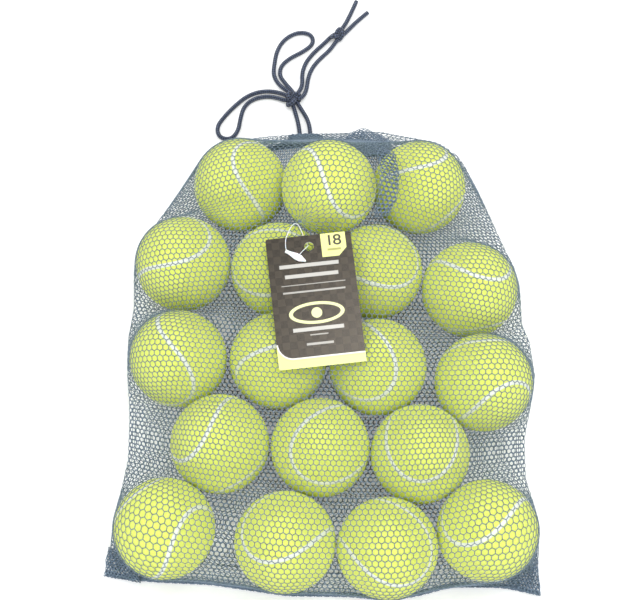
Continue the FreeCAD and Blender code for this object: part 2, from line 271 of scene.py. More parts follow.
def circle(radius, sides):
    """A circle's corners, anticlockwise as seen along the path."""
    turn = np.arange(sides) * 2 * np.pi / sides
    return radius * np.stack([np.cos(turn), -np.sin(turn)], 1)


def knot_line(middle, half, turn, count):
    """A trefoil, flattened to the half sizes and turned: x is sin t + 2 sin 2t, y is
    cos t - 2 cos 2t and z is -sin 3t, each scaled to its half size."""
    t = np.arange(count) * 2 * np.pi / count
    flat = np.stack([(np.sin(t) + 2 * np.sin(2 * t)) / 2.8, (np.cos(t) - 2 * np.cos(2 * t)) / 3,
                     -np.sin(3 * t)], 1) * half
    c, s = math.cos(math.radians(turn)), math.sin(math.radians(turn))
    return flat @ np.array([[c, s, 0], [-s, c, 0], [0, 0, 1]]) + middle


# Braided polyester: slate blue yarns that cross in small lozenges, with a dull silky shine on
# their crowns and painted near-black shade in the grooves between them. The lozenges repeat every
# 3.2 mm, which is coarser than in such a braid, so that they show.
braid, tree, surface = material("braided_polyester_cord")
place = add(tree, "ShaderNodeUVMap", uv_map="along")
axes = add(tree, "ShaderNodeSeparateXYZ", {0: place.outputs[0]})
value = {"around": axes.outputs[0], "along": axes.outputs[1]}
for result, operation, *inputs in (
    ("turn", "MULTIPLY", "around", LOZENGES * 2 * math.pi),
    ("run", "MULTIPLY", "along", 2 * math.pi / STITCH),
    ("left_lean", "ADD", "turn", "run"), ("right_lean", "SUBTRACT", "turn", "run"),
    ("left_yarn", "SINE", "left_lean"), ("right_yarn", "SINE", "right_lean"),
    ("crossing", "MULTIPLY", "left_yarn", "right_yarn"),
):
    # An input is a number or the name of an earlier result
    value[result] = add(tree, "ShaderNodeMath", {k: value.get(i, i) for k, i in enumerate(inputs)},
                        operation=operation).outputs[0]
crowns = add(tree, "ShaderNodeMapRange", {"Value": value["crossing"], "From Min": -0.7,
             "From Max": 0.8})
spot = add(tree, "ShaderNodeTexCoord")
uneven = add(tree, "ShaderNodeTexNoise", {"Vector": spot.outputs["Object"], "Scale": 420.0,
             "Detail": 3.0})
yarn = add(tree, "ShaderNodeMix", {"Factor": uneven.outputs[0], 6: linear("#323F5A"),
           7: linear("#6E7B99")}, data_type="RGBA")
# Painted shade: between the yarns' crowns the colour runs to near black
shade = add(tree, "ShaderNodeMix", {"Factor": crowns.outputs[0], 6: linear("#080D1A"),
            7: yarn.outputs[2]}, data_type="RGBA")
relief = add(tree, "ShaderNodeBump", {"Height": crowns.outputs[0], "Strength": 1.0,
             "Distance": 0.0006})
cloth = add(tree, "ShaderNodeBsdfPrincipled", {"Base Color": shade.outputs[2], "Roughness": 0.62,
            "Sheen Weight": 0.25, "Sheen Roughness": 0.4, "Normal": relief.outputs[0]})
tree.links.new(cloth.outputs[0], surface)


def cord_piece(name, path, closed=False):
    """A braided tube: a circle swept along the path, 3% wider at each crossing of the yarns."""
    at = np.arange(len(path))[:, None, None]
    around = np.arange(CORD_SIDES)[None, :, None]
    swell = 1 + 0.03 * np.cos(np.pi * at) * np.cos(np.pi * around)
    points, faces, uv = sweep(path, circle(CORD_WIDTH / 2, CORD_SIDES)[None] * swell, closed=closed)
    return mesh_piece(name, points, faces, braid, uv)


bow = cord_piece("bow_knot", knot_line(*BOW_KNOT, 120), closed=True)
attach(bow, "bag")
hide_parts("drawstring_bow_knot")
end_knot = cord_piece("end_knot", knot_line(*END_KNOT, 110), closed=True)
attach(end_knot, "bag")
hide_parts("drawstring_end_knot")

for cord_name, route, stands_for, knots in (
    ("drawstring_left_cord", LEFT_ROUTE, ("neck_left", "loop_left", "tail_left", "end_left"),
     [bow]),
    ("drawstring_right_cord", RIGHT_ROUTE, ("neck_right", "loop_upper", "tail_right", "end_right"),
     [end_knot]),
):
    line = smooth_line(route, STITCH / 4)
    cord = cord_piece(cord_name, line)
    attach(cord, "bag")
    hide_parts(*("drawstring_" + part for part in stands_for))


# ----------------------------------------
# Tennis balls: two dumbbell-shaped panels of yellow-green wool and nylon felt, glued over a hollow
# rubber core. Where the panels meet, pale vulcanised cement shows in a groove 2.5 mm wide.
# ----------------------------------------

BALL_RADIUS = 33.3
FELT = 3.2
RUBBER_WALL = 4.2
DIP_REACH = 7.0             # from the seam's line to where its felt starts to dip
SEAM_STEPS = 200            # rings of a band along the seam
LOBE = 0.75                 # share of the radius in the seam curve's first harmonic
LAYER = 34.4                # height of the balls' middles
# Middle x and y, rise above the layer, then yaw, pitch and roll in degrees
BALLS = [
    (-59.0, 118.0, 0, -65, -45, 15), (4.5, 107.0, 20, -165, 10, 80), (69.5, 116.0, 0, -85, 0, -60),
    (-98.0, 57.0, 0, -80, 20, 115), (-31.0, 52.5, 0, 75, 35, -105), (37.0, 51.0, 0, 70, -35, -90),
    (103.0, 37.5, 0, 55, -5, -125),
    (-99.0, -13.0, 0, 95, 85, -35), (-30.5, -14.5, 0, -75, 0, 105), (38.0, -19.0, 0, 90, -65, 35),
    (110.0, -30.0, 0, -115, -30, -20),
    (-69.0, -73.0, 0, -90, 65, 20), (-1.5, -75.5, 0, 130, 25, -75), (65.5, -80.0, 0, 10, -45, -110),
    (-104.0, -130.0, 0, -80, -40, -25), (-24.5, -139.0, 0, -30, -60, 65),
    (42.5, -143.0, 0, 45, -45, 95), (108.5, -131.5, 0, -160, 70, -30),
]

# Felt: a dense woolly nap that scatters light all over, so the ball looks soft and evenly bright,
# with lighter tufts about 1 mm wide and a pale rim where the fibres stand on edge.
felt, tree, surface = material("tennis_ball_felt")
spot = add(tree, "ShaderNodeTexCoord")
tufts = add(tree, "ShaderNodeTexNoise", {"Vector": spot.outputs["Object"], "Scale": 620.0,
            "Detail": 5.0, "Roughness": 0.65, "Distortion": 0.6})
wear = add(tree, "ShaderNodeTexNoise", {"Vector": spot.outputs["Object"], "Scale": 70.0,
           "Detail": 2.0})
tuft_share = add(tree, "ShaderNodeMapRange", {"Value": tufts.outputs[0], "From Min": 0.32,
                 "From Max": 0.68})
nap = add(tree, "ShaderNodeMix", {"Factor": tuft_share.outputs[0], 6: linear("#E4F24C"),
          7: linear("#FEFF8C")}, data_type="RGBA")
patches = add(tree, "ShaderNodeMix", {"Factor": wear.outputs[0], 6: nap.outputs[2],
              7: linear("#F0FA78")}, data_type="RGBA")
fibres = add(tree, "ShaderNodeTexNoise", {"Vector": spot.outputs["Object"], "Scale": 2600.0,
             "Detail": 2.0})
pile = add(tree, "ShaderNodeMath", {0: tufts.outputs[0], 1: fibres.outputs[0]}, operation="ADD")
relief = add(tree, "ShaderNodeBump", {"Height": pile.outputs[0], "Strength": 0.8,
             "Distance": 0.0007})
cloth = add(tree, "ShaderNodeBsdfPrincipled", {"Base Color": patches.outputs[2], "Roughness": 0.95,
            "Specular IOR Level": 0.15, "Sheen Weight": 0.45, "Sheen Roughness": 0.6,
            "Sheen Tint": linear("#F7FFC0"), "Normal": relief.outputs[0]})
tree.links.new(cloth.outputs[0], surface)


def mottled(name, dark, pale, scale, detail, roughness, relief=None):
    """A matte material that runs between two shades in a fine noise, raised by the same noise where
    relief gives the bump's strength and its distance in metres."""
    made, tree, surface = material(name)
    spot = add(tree, "ShaderNodeTexCoord")
    grain = add(tree, "ShaderNodeTexNoise", {"Vector": spot.outputs["Object"], "Scale": scale,
                "Detail": detail})
    shade = add(tree, "ShaderNodeMix", {"Factor": grain.outputs[0], 6: linear(dark),
                7: linear(pale)}, data_type="RGBA")
    skin = add(tree, "ShaderNodeBsdfPrincipled", {"Base Color": shade.outputs[2],
               "Roughness": roughness})
    if relief:
        raised = add(tree, "ShaderNodeBump", {"Height": grain.outputs[0], "Strength": relief[0],
                     "Distance": relief[1]})
        tree.links.new(raised.outputs[0], skin.inputs["Normal"])
    tree.links.new(skin.outputs[0], surface)
    return made


# Seam cement: dull off-white rubber, slightly grey where dirt and short fibres stick to it.
cement = mottled("seam_rubber_cement", "#DDE3D2", "#F7F9EE", 500.0, 4.0, 0.7, (0.4, 0.0003))

# Core rubber: moulded dark grey-green natural rubber, matte, faintly mottled by filler.
core_rubber = mottled("moulded_core_rubber", "#3A3D38", "#50544C", 300.0, 3.0, 0.8)


def seam_curve(count):
    """The seam on a unit sphere: two harmonics of one turn, a cos t + b cos 3t, a sin t - b sin 3t
    and 2 sqrt(ab) sin 2t, where a and b add up to 1."""
    t = np.arange(count) * 2 * np.pi / count
    a, b = LOBE, 1 - LOBE
    return np.stack([a * np.cos(t) + b * np.cos(3 * t), a * np.sin(t) - b * np.sin(3 * t),
                     2 * math.sqrt(a * b) * np.sin(2 * t)], 1)


def globe(radius, columns, rows):
    """A sphere: columns round its axis and rows from pole to pole, the poles closed by fans."""
    up = np.linspace(0, np.pi, rows + 1)[1:-1]
    turn = np.arange(columns) * 2 * np.pi / columns
    ring = np.stack([np.outer(np.sin(up), np.cos(turn)), np.outer(np.sin(up), np.sin(turn)),
                     np.outer(np.cos(up), np.ones(columns))], 2).reshape(-1, 3)
    points = np.vstack([ring, [[0, 0, 1]], [[0, 0, -1]]]) * radius
    i, j = [g.ravel() for g in np.meshgrid(np.arange(rows - 2), np.arange(columns), indexing="ij")]
    j2 = (j + 1) % columns
    faces = np.stack([i * columns + j, (i + 1) * columns + j, (i + 1) * columns + j2,
                      i * columns + j2], 1)
    k = np.arange(columns)
    k2 = (k + 1) % columns
    none = np.full(columns, -1)
    last = (rows - 2) * columns
    caps = np.vstack([np.stack([np.full(columns, len(ring)), k, k2, none], 1),
                      np.stack([np.full(columns, len(ring) + 1), last + k2, last + k, none], 1)])
    return points, np.vstack([faces, caps])


def around_seam(across, height, count):
    """A band along the seam: its corners lie across mm to the side of the curve and height mm
    above the ball's radius."""
    middle = seam_curve(count)
    tangent = np.roll(middle, -1, 0) - np.roll(middle, 1, 0)
    side = np.cross(middle, tangent)
    side /= np.linalg.norm(side, axis=1)[:, None]
    angle = across / BALL_RADIUS
    outward = (middle[:, None] * np.cos(angle)[None, :, None]
               + side[:, None] * np.sin(angle)[None, :, None])
    return outward * (BALL_RADIUS + height)[None, :, None]


def band(grid, wrap):
    """Faces of a grid that closes along its rows, and across them too where wrap is true."""
    rows, columns = grid.shape[:2]
    i, j = [g.ravel() for g in np.meshgrid(np.arange(rows), np.arange(columns - (not wrap)),
                                           indexing="ij")]
    i2, j2 = (i + 1) % rows, (j + 1) % columns
    return np.stack([i * columns + j, i2 * columns + j, i2 * columns + j2, i * columns + j2], 1)


def joined(*parts):
    """Several point and face arrays as one."""
    first = np.cumsum([0] + [len(points) for points, faces in parts])
    return (np.vstack([points for points, faces in parts]),
            np.vstack([np.where(faces >= 0, faces + start, -1)
                       for (points, faces), start in zip(parts, first)]))


# The felt dips under the groove, and a band with two rounded lips and the groove lies over the dip
ball, ball_faces = globe(BALL_RADIUS, 84, 42)
directions = ball / BALL_RADIUS
nearest = np.arccos(np.clip((directions @ seam_curve(240).T).max(1), -1, 1)) * BALL_RADIUS
dip = 1.0 * np.clip((DIP_REACH - nearest) / 3.0, 0, 1)
ball = directions * (BALL_RADIUS - dip)[:, None]
# Each corner's mm across from the seam's line, and its height above the ball's radius
LIPS = np.array([(-7.2, -0.06), (-4.6, 0.01), (-2.8, 0.04), (-1.9, 0.01), (-1.45, -0.16),
                 (-1.4, -0.8), (1.4, -0.8), (1.45, -0.16), (1.9, 0.01), (2.8, 0.04), (4.6, 0.01),
                 (7.2, -0.06)])
lips = around_seam(LIPS[:, 0], LIPS[:, 1], SEAM_STEPS)
# The lips close underneath, inside the dip
under = around_seam(np.array([5.0, -5.0]), np.array([-1.2, -1.2]), SEAM_STEPS)
lips = np.concatenate([lips, under], 1)
felt_points, felt_faces = joined((ball, ball_faces),
                                 (lips.reshape(-1, 3), band(lips, True)))
CEMENT = np.array([(-1.5, -0.75), (-1.5, -0.2), (-0.8, -0.06), (0.8, -0.06), (1.5, -0.2),
                   (1.5, -0.75)])
strip = around_seam(CEMENT[:, 0], CEMENT[:, 1], SEAM_STEPS)
outer, outer_faces = globe(BALL_RADIUS - FELT, 40, 20)
inner, inner_faces = globe(BALL_RADIUS - FELT - RUBBER_WALL, 40, 20)
inner_faces = np.where(inner_faces[:, 3:] < 0, inner_faces[:, [0, 2, 1, 3]],
                       inner_faces[:, ::-1])
core_points, core_faces = joined((outer, outer_faces), (inner, inner_faces))

for number, (x, y, rise, yaw, pitch, roll) in enumerate(BALLS, 1):
    turned = np.array(Euler([math.radians(a) for a in (roll, pitch, yaw)], "XYZ").to_matrix())
    middle = np.array([x, y, LAYER + rise])
    body = f"ball_{number:02d}"
    cover = mesh_piece(body + "_felt", felt_points @ turned.T + middle, felt_faces, felt)
    seam = mesh_piece(body + "_seam", strip.reshape(-1, 3) @ turned.T + middle, band(strip, True),
                      cement)
    core = mesh_piece(body + "_rubber", core_points @ turned.T + middle, core_faces, core_rubber)
    # The nap hides the groove's lips: the felt is shaded as one smooth ball
    cover.data.normals_split_custom_set_from_vertices(felt_points @ turned.T / BALL_RADIUS)
    for piece, slot_name in ((cover, "felt"), (seam, "rubber"), (core, "rubber")):
        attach(piece, body)
    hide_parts(body + "_cover")
    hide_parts(body + "_core")


# ----------------------------------------
# Netting bag: one tube of warp-knitted polyester mesh, all in small six-sided cells, sewn shut at
# the bottom and drawn together at the mouth. It is held stretched over the balls. Its shape is
# found as a stretched net finds it: every knot moves to the middle of its neighbours, and out of
# the balls and the floor.
# ----------------------------------------

CELL_ROW = 3.1
STRAND_WIDTH = 0.54
BACK_STRAND = 0.8           # slack, so that its yarns stand apart
BUNCHED_STRAND = 1.0        # two or three strands together
STRAND_HEIGHT = 0.5
COLUMNS = 166               # cells round the bag, half of them on its front
ROWS = 140                  # cells from the bottom seam to the mouth
TOP_ROW = 125               # the row that turns under at the bag's top edge
SLIPPED = 16                # columns at each side that have slipped round to the back there
NET_CLEARANCE = 0.75        # from a ball to the middle of the netting
SEAM_LINE = [
    # the bottom seam, from the left corner to the right one: x, y, z
    (-147.0, -154.0, 1.8), (-134.0, -157.0, 1.4), (-110.0, -159.0, 1.3), (-75.0, -160.5, 1.3),
    (-24.0, -168.0, 1.3), (18.0, -168.5, 1.3), (43.0, -171.0, 1.3), (62.0, -168.5, 1.3),
    (87.0, -162.0, 1.3), (122.0, -162.5, 1.3), (136.0, -165.5, 1.4), (147.0, -168.0, 1.8),
]
LEFT_EDGE = [
    # the netting's left edge, from the seam's corner to its shoulder: x, y, z
    (-147.0, -154.0, 1.8), (-144.2, -141.0, 9.0), (-140.5, -122.0, 19.0), (-136.0, -105.0, 24.0),
    (-132.5, -81.0, 24.0), (-133.0, -53.0, 24.0), (-134.8, -24.0, 28.0), (-135.6, 5.0, 28.0),
    (-133.4, 28.0, 27.0), (-133.4, 52.0, 29.0), (-133.0, 70.0, 26.0), (-128.5, 82.0, 24.0),
    (-115.0, 101.5, 22.0), (-95.5, 133.0, 20.0), (-89.0, 143.0, 19.0), (-80.0, 153.0, 17.0),
]
RIGHT_EDGE = [
    (147.0, -168.0, 1.8), (145.8, -150.0, 9.0), (144.4, -135.0, 22.0), (142.4, -115.0, 24.0),
    (137.8, -94.0, 24.0), (138.6, -67.0, 24.0), (142.6, -46.0, 28.0), (146.6, -24.0, 28.0),
    (145.4, 2.0, 26.0), (140.6, 15.0, 25.0), (139.0, 43.0, 29.0), (136.8, 58.0, 26.0),
    (122.0, 98.0, 22.0), (106.5, 139.0, 19.0), (102.0, 148.0, 18.0), (97.0, 153.5, 18.0),
]
TOP_EDGE = [
    (-80.0, 153.0, 17.0), (-72.0, 160.5, 16.0), (-58.0, 165.5, 14.0), (-40.0, 168.5, 13.0),
    (-13.0, 171.0, 12.0), (15.0, 171.0, 12.5), (30.0, 172.0, 14.0), (45.0, 171.0, 15.0),
    (58.0, 167.5, 16.0), (87.0, 161.5, 17.0), (97.0, 153.5, 18.0),
]
MOUTH = ((-13.0, 169.0, 4.6), (11.0, 2.9))           # middle and half sizes of the gathered ring
HITCH = (-15.6, 71.6, 76.8)                          # where the tag's pin catches the netting
TUCK = ((-10.5, 76.0), (11.0, 8.0))                   # the netting that it draws together
EDGE_POINTS = 400           # points read along the top edge
FLOOR_GAP = 0.75            # from the floor to the middle of the netting
START_WIDTH = 152           # half the width of the loose tube that the net starts as
START_FOOT = -184           # y of its foot
START_LENGTH = 350
START_MIDDLE = 22           # height of its middle
START_RISE = (72, 20)       # from there to its front and to its back
STEPS = 420
ROUND_PULL = 0.12           # share of a stretch that a step takes up, round the bag
LENGTH_PULL = 0.25          # and along it
GLIDE = 0.93                # share of its speed that a point keeps
TUCK_SIZE = 0.16            # size of the tuck once drawn together, against what it was

# Knitted polyester: fine slate blue filament yarn with a soft sheen, each strand two or three
# yarns looped together, so it is a little fuzzy and uneven, and paler on top than in its loops.
netting_yarn, tree, surface = material("knitted_polyester_netting")
spot = add(tree, "ShaderNodeTexCoord")
uneven = add(tree, "ShaderNodeTexNoise", {"Vector": spot.outputs["Object"], "Scale": 900.0,
             "Detail": 3.0})
share = add(tree, "ShaderNodeMapRange", {"Value": uneven.outputs[0], "From Min": 0.35,
            "From Max": 0.65})
shade = add(tree, "ShaderNodeMix", {"Factor": share.outputs[0], 6: linear("#455A6E"),
            7: linear("#7B90A4")}, data_type="RGBA")
filaments = add(tree, "ShaderNodeTexNoise", {"Vector": spot.outputs["Object"], "Scale": 4200.0,
                "Detail": 2.0})
relief = add(tree, "ShaderNodeBump", {"Height": filaments.outputs[0], "Strength": 0.6,
             "Distance": 0.0002})
yarn = add(tree, "ShaderNodeBsdfPrincipled", {"Base Color": shade.outputs[2], "Roughness": 0.55,
           "Sheen Weight": 0.2, "Sheen Roughness": 0.5, "Normal": relief.outputs[0]})
tree.links.new(yarn.outputs[0], surface)


def seam_at(x):
    """The point of the bottom seam at each x, on straight runs between its corners."""
    line = np.array(SEAM_LINE)
    return np.stack([x, np.interp(x, line[:, 0], line[:, 1]), np.interp(x, line[:, 0], line[:, 2])],
                    -1)


def spaced(line, count):
    """Equally spaced points on straight runs between the line's points."""
    line = np.array(line, float)
    run = np.r_[0, np.cumsum(np.linalg.norm(np.diff(line, axis=0), axis=1))]
    at = np.linspace(0, run[-1], count)
    return np.stack([np.interp(at, run, line[:, k]) for k in range(3)], 1)


def keep_clear(points):
    """Points inside a ball's clearance move straight out of it, and points below the floor's
    clearance move up."""
    for x, y, rise, *turn in BALLS:
        off = points - (x, y, LAYER + rise)
        far = np.sqrt((off ** 2).sum(-1))
        short = np.clip((BALL_RADIUS + NET_CLEARANCE) / np.maximum(far, 1e-6), 1, None)
        points = points + off * (short - 1)[..., None]
    points[..., 2] = np.maximum(points[..., 2], FLOOR_GAP)
    return points


def stretched_bag():
    """The bag's netting as an array of rows from the seam to the mouth and columns round it, left
    side, front, right side, back. Springs with no length of their own join a point to its
    neighbours round the bag, and springs one cell long to those along it. The seam, the side
    edges, the top edge and the tuck are held. Past the top edge, the rows run straight to the
    gathered ring, dipping under the front. Also gives which cells are on the front."""
    row = np.clip(np.arange(ROWS) / TOP_ROW, 0, 1)[:, None]
    column = np.arange(COLUMNS)[None, :]
    half = COLUMNS // 2
    slip = np.rint(SLIPPED * np.clip((row - 0.62) / 0.38, 0, 1) ** 1.5).astype(int)
    front = (column >= slip) & (column <= half - slip)
    # It starts as a wide loose tube, higher in front and flatter behind, which draws in over its
    # last fifth. Its columns slip to the back from 0.62 of the way up.
    across = np.where(front, -1 + 2 * (column - slip) / (half - 2 * slip),
                      1 - 2 * ((column - half + slip) % COLUMNS) / (half + 2 * slip))
    height = np.where(front, 1, -1) * np.clip(1 - across ** 4, 0, 1) ** 0.25
    wide = START_WIDTH * np.clip((1.06 - row) / 0.20, 0, 1) ** 0.5
    tall = np.where(front, *START_RISE) * (np.clip(row / 0.05, 0, 1)
                                           * np.clip((1 - row) / 0.08, 0.04, 1)) ** 0.5
    points = np.stack([across * wide + 8 * row ** 12,
                       (START_FOOT + START_LENGTH * row) * np.ones_like(across),
                       START_MIDDLE - 10 * row ** 12 + height * tall], 2)
    points[0] = seam_at(SEAM_LINE[-1][0] * across[0])
    rising = np.arange(TOP_ROW + 1)
    points[rising, slip[rising, 0]] = spaced(LEFT_EDGE, TOP_ROW + 1)
    points[rising, half - slip[rising, 0]] = spaced(RIGHT_EDGE, TOP_ROW + 1)
    top = points[TOP_ROW, :, :].copy()
    edge = spaced(TOP_EDGE, EDGE_POINTS)
    at = (across[TOP_ROW] + 1) / 2 * (EDGE_POINTS - 1)
    for k in range(3):
        top[:, k] = np.interp(at, np.arange(EDGE_POINTS), edge[:, k])
    under = ~front[TOP_ROW]
    top[under] = top[under] * (1, 1, 0.12) - (0, 3, 0)
    points[TOP_ROW] = top
    turn = np.where(front[TOP_ROW], 1, -1) * np.arccos(np.clip(across[TOP_ROW], -1, 1))
    ring = MOUTH[0] + np.stack([np.cos(turn) * MOUTH[1][0], np.zeros(COLUMNS),
                                np.sin(turn) * MOUTH[1][1]], 1)
    share = np.linspace(0, 1, ROWS - TOP_ROW)[:, None, None]
    dip = np.sin(np.pi * share) * np.stack([0 * turn, 3.5 + 1.5 * np.sin(column[0] * 1.9),
                                            np.where(under, 0, 4 + np.sin(column[0] * 1.3))], 1)
    points[TOP_ROW:] = top * (1 - share) + ring * share - dip
    held = np.zeros((ROWS, COLUMNS), bool)
    held[0] = held[TOP_ROW:] = True
    held[rising, slip[rising, 0]] = held[rising, half - slip[rising, 0]] = True
    before = points.copy()
    for step in range(STEPS):
        if step == STEPS * 2 // 3:
            off = points[..., :2] - TUCK[0]
            caught = front & (((off / TUCK[1]) ** 2).sum(-1) < 1)
            points[caught] = HITCH + np.concatenate([off[caught] * TUCK_SIZE,
                                                     -0.1 * np.abs(off[caught][:, :1])], 1)
            held |= caught
            before = points.copy()
        round_it = np.roll(points, 1, 1) + np.roll(points, -1, 1) - 2 * points
        along = np.diff(points, axis=0)
        length = np.sqrt((along ** 2).sum(-1))[..., None]
        pull = along * (1 - CELL_ROW / np.maximum(length, 0.1))
        force = ROUND_PULL * round_it
        force[:-1] += LENGTH_PULL * pull
        force[1:] -= LENGTH_PULL * pull
        moved = keep_clear(points + GLIDE * (points - before) + force)
        before = points
        points = np.where(held[..., None], points, moved)
    return points, front


def staggered(grid):
    """Every other row moved half a cell along, as the cells of a hexagonal net lie."""
    cells = grid.copy()
    cells[1::2] = (grid[1::2] + np.roll(grid, -1, 1)[1::2]) / 2
    return cells


def net_piece(name, cells, chosen, width=STRAND_WIDTH):
    """Strands between six-sided holes. A hole's corners lie on the lines from its middle to the
    six points where three cells meet, half a strand short of them. Over and under each of those
    points is a ridge, so a strand is four-sided. Chosen marks the cells that are in this piece,
    and width is a strand's."""
    rows, columns = cells.shape[:2]
    j, i = np.meshgrid(np.arange(rows), np.arange(columns), indexing="ij")
    odd = j % 2

    def at(dj, di):
        """The number of the cell dj rows up and di columns along."""
        return np.clip(j + dj, 0, rows - 1) * columns + (i + di) % columns

    flat = cells.reshape(-1, 3)
    mine, left, right = at(0, 0), at(0, -1), at(0, 1)
    up_left, up_right = at(1, odd - 1), at(1, odd)
    down_left, down_right = at(-1, odd - 1), at(-1, odd)
    normal = np.cross(flat[right] - flat[left],
                      flat[up_left] + flat[up_right] - flat[down_left] - flat[down_right])
    normal /= np.maximum(np.linalg.norm(normal, axis=2), 1e-9)[..., None]
    normal = normal.reshape(-1, 3)

    def meeting(values, a, b):
        """The mean of three cells that meet."""
        return ((values[mine] + values[a] + values[b]) / 3).reshape(-1, 3)

    ups, downs = meeting(flat, up_left, up_right), meeting(flat, down_left, down_right)
    lift = STRAND_HEIGHT / 2
    up_lift, down_lift = (lift * meeting(normal, a, b) for a, b in
                          ((up_left, up_right), (down_left, down_right)))
    count = rows * columns
    # Corner k of each cell, from its top and anticlockwise: the number of its meeting point
    corner = [mine, count + up_left, down_left, count + mine, down_right, count + up_right]
    beyond = [up_left, left, down_left, down_right, right, up_right]
    meets = np.vstack([ups, downs])
    ridge = np.vstack([meets + np.vstack([up_lift, down_lift]),
                       meets - np.vstack([up_lift, down_lift])])
    holes = []
    for k in range(6):
        spoke = meets[corner[k].ravel()] - flat
        far = np.linalg.norm(spoke, axis=1)[:, None]
        holes.append(flat + spoke * (1 - np.minimum(width / 2 * 1.15 / np.maximum(far, 1e-6), 0.8)))
    points = np.vstack([ridge, *holes])
    inside = chosen & (j > 0) & (j < rows - 1)
    faces = []
    for k in range(6):
        k2 = (k + 1) % 6
        a, b = corner[k][inside], corner[k2][inside]
        hole_a = 4 * count + k * count + mine[inside]
        hole_b = 4 * count + k2 * count + mine[inside]
        faces.append(np.stack([a, b, hole_b, hole_a], 1))
        faces.append(np.stack([2 * count + b, 2 * count + a, hole_a, hole_b], 1))
        edge = inside & ~inside.ravel()[beyond[k]]
        a, b = corner[k][edge], corner[k2][edge]
        faces.append(np.stack([b, a, 2 * count + a, 2 * count + b], 1))
    faces = np.vstack(faces)
    used, renumbered = np.unique(faces, return_inverse=True)
    return mesh_piece(name, points[used], renumbered.reshape(faces.shape), netting_yarn)


bag_grid, on_front = stretched_bag()
bag_cells = staggered(bag_grid)
upper = np.broadcast_to(np.arange(ROWS)[:, None] >= ROWS // 2, on_front.shape)
for net_name, chosen, stands_for, width in (
    ("netting_front_lower", on_front & ~upper, ["netting_front"], STRAND_WIDTH),
    ("netting_front_upper", on_front & upper, ["netting_front", "mouth_gather"], STRAND_WIDTH),
    ("netting_back_lower", ~on_front & ~upper, ["netting_back"], BACK_STRAND),
    ("netting_back_upper", ~on_front & upper, ["netting_back", "mouth_gather"], BACK_STRAND),
):
    net = net_piece(net_name, bag_cells, chosen, width)
    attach(net, "bag")
    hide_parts(*stands_for)


# ----------------------------------------
# Loose netting: the slack that the drawn mouth leaves. A doubled pleat lies between the raised
# ball and its neighbour, a limp ruffle stands out over the top edge, and the two bottom corners
# are bunched into small ears. All of it is the bag's own netting, doubled or slack, so its
# strands look wider.
# ----------------------------------------

PLEAT_INNER = [(36.0, 132.0, 74.0), (39.5, 112.0, 77.0), (39.0, 96.0, 77.0), (35.0, 76.0, 73.0)]
PLEAT_FOLD = [(50.0, 128.0, 70.0), (53.4, 108.0, 72.0), (51.8, 92.0, 72.5), (44.5, 78.0, 71.0)]
LEFT_EAR = [(-126.0, -148.0), (-144.0, -137.0), (-147.5, -157.0), (-122.0, -161.5)]
RIGHT_EAR = [(144.0, -142.0), (130.0, -149.0), (122.0, -163.5), (146.0, -171.0)]
PLEAT_LENGTH = 58
PLEAT_COLUMNS = 5           # points across each of its two layers
RUFFLE_ROOT = (38.0, 135.0, 46.0)
RUFFLE_LENGTH = 33.5
RUFFLE_CELLS = (40, 18)     # round it and along it
EAR_CELLS = (11, 12)        # across each layer and along it
EAR_HEIGHT = 15.0


def patch(edge_a, edge_b, rows, columns):
    """A ruled surface: rows of points along two edges, with columns on the lines between."""
    a, b = spaced(edge_a, rows)[:, None], spaced(edge_b, rows)[:, None]
    share = np.linspace(0, 1, columns)[None, :, None]
    return a * (1 - share) + b * share


def crumple(points, depth, wave):
    """Moves points up and down by a sum of three plane waves, each across a different line."""
    x, y = points[..., 0], points[..., 1]
    lift = (np.sin(x * 2.3 / wave + y * 1.1 / wave) + np.sin(y * 2.9 / wave - x * 0.7 / wave)
            + np.sin((x + y) * 1.7 / wave)) / 3
    moved = points.copy()
    moved[..., 2] += depth * lift
    moved[..., 0] += 0.35 * depth * np.roll(lift, 3, 0)
    moved[..., 1] += 0.35 * depth * np.roll(lift, 2, 1)
    return moved


pleat_rows = round(PLEAT_LENGTH / CELL_ROW)
pleat_fold = patch(PLEAT_INNER, PLEAT_FOLD, pleat_rows, PLEAT_COLUMNS)
net_points = bag_grid[on_front]
apart = np.linalg.norm(pleat_fold[:, :, None, :2] - net_points[:, :2], axis=3)
pull = np.exp(-(apart / 3.0) ** 2)
pleat_fold[..., 2] = (pull @ net_points[:, 2]) / pull.sum(2)
# The folded edge stands up a little, and the rest lies on the netting
pleat_under = pleat_fold[:, ::-1] + (0, 0, 0.9)
pleat_fold[..., 2] += 1.8 + 1.6 * np.linspace(0, 1, PLEAT_COLUMNS)[None, :] ** 3
pleat_cells = keep_clear(staggered(np.concatenate([pleat_fold, pleat_under], 1)))
pleat = net_piece("netting_pleat", pleat_cells, np.ones(pleat_cells.shape[:2], bool), BACK_STRAND)

# The ruffle is a flattened tube that widens outwards, with wavy sides and a drooping middle
ruffle_turn = 2 * np.pi * np.arange(RUFFLE_CELLS[0]) / RUFFLE_CELLS[0]
ruffle_out = np.linspace(0, 1, RUFFLE_CELLS[1])[:, None]
ruffle_wide = 6.0 + 13.5 * ruffle_out ** 0.7
ruffle_thick = 2.6 * np.sin(np.pi * (0.15 + 0.85 * ruffle_out)) + 0.3
ruffle_wave = 2.4 * ruffle_out * np.sin(3.2 * np.cos(ruffle_turn) * (1 + 0.4 * ruffle_out) + 0.6)
ruffle_grid = np.stack([
    RUFFLE_ROOT[0] - 6.5 * ruffle_out - np.cos(ruffle_turn) * ruffle_wide,
    RUFFLE_ROOT[1] + RUFFLE_LENGTH * ruffle_out
    - 11.0 * ruffle_out * np.abs(np.cos(ruffle_turn)) ** 2.5
    + 1.2 * ruffle_out * np.sin(5 * ruffle_turn),
    RUFFLE_ROOT[2] - 24.0 * ruffle_out + np.sin(ruffle_turn) * ruffle_thick + ruffle_wave,
], 2)
ruffle_cells = keep_clear(staggered(ruffle_grid))
